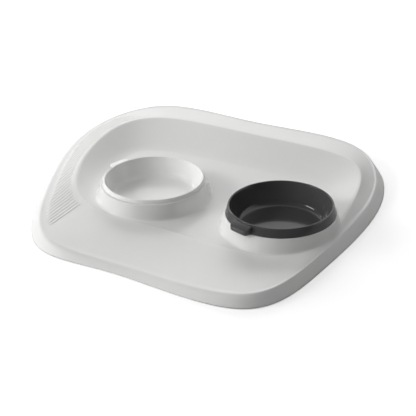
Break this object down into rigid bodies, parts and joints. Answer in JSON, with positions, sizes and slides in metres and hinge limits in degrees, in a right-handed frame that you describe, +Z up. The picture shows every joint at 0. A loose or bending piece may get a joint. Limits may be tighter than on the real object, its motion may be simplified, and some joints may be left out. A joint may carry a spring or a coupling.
{
  "type": "double pet bowl",
  "caption": "Low free-form feeding tray with a sunk basin, raised round seats, lift-out food and water bowls with finger tabs, and soft feet.",
  "frame": {"origin": "middle of the tray's bounding box, on the ground under the feet", "axes": "+X along the tray's width, towards the grey bowl; +Y to the back, where the deck is highest; +Z up"},
  "size_m": [0.438, 0.418, 0.0385],
  "materials": {
    "tray_plastic": "satin",
    "white_plastic": "gloss",
    "grey_plastic": "satin",
    "foot_rubber": "matt"
  },
  "bodies": {
    "tray": {"tray": "tray_plastic", "foot_front_left": "foot_rubber", "foot_front_right": "foot_rubber", "foot_back_left": "foot_rubber", "foot_back_right": "foot_rubber"},
    "white_bowl": {"white_bowl": "white_plastic"},
    "grey_bowl": {"grey_bowl": "grey_plastic"}
  },
  "joints": [
    {"name": "white_bowl_lift", "type": "slide", "parent": "tray", "child": "white_bowl", "axis": [0, 0, 1], "range_m": [0, 0.06]},
    {"name": "grey_bowl_lift", "type": "slide", "parent": "tray", "child": "grey_bowl", "axis": [0, 0, 1], "range_m": [0, 0.06]}
  ]
}
